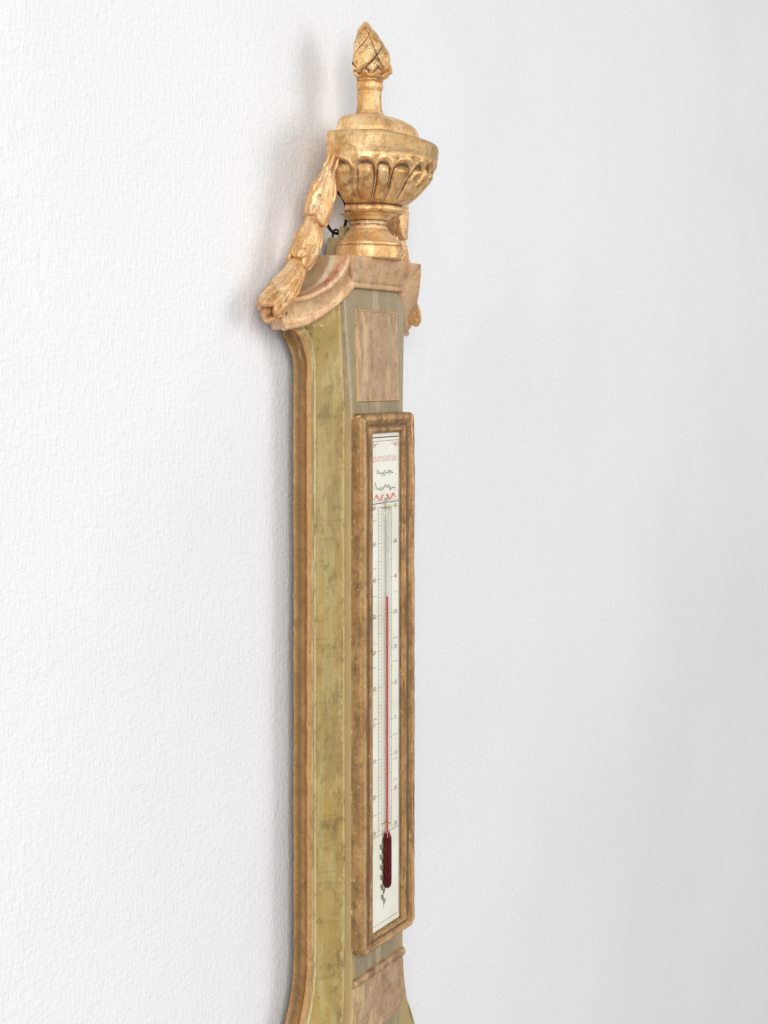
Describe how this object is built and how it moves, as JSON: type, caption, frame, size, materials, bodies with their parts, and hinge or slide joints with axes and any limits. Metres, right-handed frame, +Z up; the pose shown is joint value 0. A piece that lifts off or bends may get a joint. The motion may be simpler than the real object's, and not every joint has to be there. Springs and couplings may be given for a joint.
{
  "type": "carved wall barometer with thermometer",
  "caption": "Carved giltwood and green painted wall barometer: urn and leaf swags on top, long shaft with a red spirit thermometer, round glazed dial below, siphon tube behind.",
  "frame": {"origin": "on the wall plane, at the height of the dial's axis, midway across the case", "axes": "+X to the viewer's right, +Y into the wall, +Z up along the shaft"},
  "size_m": [0.24, 0.0766, 1.0614],
  "materials": {
    "gilt_wood": "worn matt gilding on carved wood",
    "carved_gilt": "burnished gilding, worn on the ridges, dark in the hollows",
    "green_paint": "old olive green oil paint, rubbed",
    "grey_green_paint": "old grey green oil paint",
    "bare_wood": "unpainted, aged",
    "iron": "dark wrought iron",
    "paper": "aged printed paper",
    "clear_glass": "clear blown glass",
    "red_spirit": "dyed spirit, a liquid",
    "mercury": "liquid metal",
    "brass": "old lacquered brass",
    "steel": "blued steel",
    "silk": "fine silk thread"
  },
  "bodies": {
    "case": {"back_board": "bare_wood", "barometer_tube": "clear_glass", "cornice_front": "gilt_wood", "cornice_wing_left": "gilt_wood", "cornice_wing_right": "gilt_wood", "counterweight_thread": "silk", "dial_bead_ring": "carved_gilt", "dial_bush": "brass", "dial_frame": "gilt_wood", "dial_glass": "clear_glass", "dial_plate": "paper", "dial_spacer_ring": "paper", "field_left": "green_paint", "field_right": "green_paint", "flame_finial": "carved_gilt", "float_thread": "silk", "frame_rail_bottom": "gilt_wood", "frame_rail_left": "gilt_wood", "frame_rail_right": "gilt_wood", "frame_rail_top": "gilt_wood", "glass_bush": "brass", "hanger_staple": "iron", "hanger_tab": "bare_wood", "lower_panel": "gilt_wood", "mercury_body": "mercury", "mercury_long_column": "mercury", "mercury_short_column": "mercury", "moulding_left": "gilt_wood", "moulding_right": "gilt_wood", "pendant": "gilt_wood", "pendant_drop": "carved_gilt", "pendant_leaf": "carved_gilt", "pilaster_front": "grey_green_paint", "rear_bearing": "brass", "scale_board": "bare_wood", "scale_paper": "paper", "stem_tie_lower": "brass", "stem_tie_upper": "brass", "strap_screws": "steel", "swag_left": "carved_gilt", "swag_right": "carved_gilt", "thermometer_glass": "clear_glass", "thermometer_spirit": "red_spirit", "tube_strap_lower": "brass", "tube_strap_upper": "brass", "upper_panel": "gilt_wood", "urn_bowl": "carved_gilt", "urn_foot": "carved_gilt", "urn_lid": "carved_gilt"},
    "ring": {"hanging_ring": "iron"},
    "indicator": {"indicator_arbor": "steel", "indicator_pulley": "brass", "pulley_thread": "silk", "indicator_hand": "steel"},
    "setter": {"set_hand": "brass", "set_knob": "brass"},
    "float": {"float_weight": "clear_glass"},
    "counterweight_body": {"counterweight": "clear_glass"}
  },
  "joints": [
    {"name": "ring_swing", "type": "hinge", "parent": "case", "child": "ring", "pos_m": [-0.007, -0.0042, 0.6837], "axis": [1, 0, 0], "range_deg": [0, 30]},
    {"name": "indicator_turn", "type": "hinge", "parent": "case", "child": "indicator", "pos_m": [0, 0, 0], "axis": [0, 1, 0], "range_deg": [-150, 150]},
    {"name": "set_turn", "type": "hinge", "parent": "case", "child": "setter", "pos_m": [0, 0, 0], "axis": [0, 1, 0], "continuous": true},
    {"name": "float_slide", "type": "slide", "parent": "case", "child": "float", "axis": [0, 0, 1], "range_m": [-0.0175, 0.0175], "deforming": ["float_thread", "mercury_short_column"]},
    {"name": "counterweight_slide", "type": "slide", "parent": "case", "child": "counterweight_body", "axis": [0, 0, 1], "range_m": [-0.0175, 0.0175], "deforming": ["counterweight_thread", "mercury_long_column"]}
  ],
  "couplings": [
    {"joint": "float_slide", "follows": "indicator_turn", "m_per_rad": -0.0065},
    {"joint": "counterweight_slide", "follows": "indicator_turn", "m_per_rad": 0.0065}
  ]
}
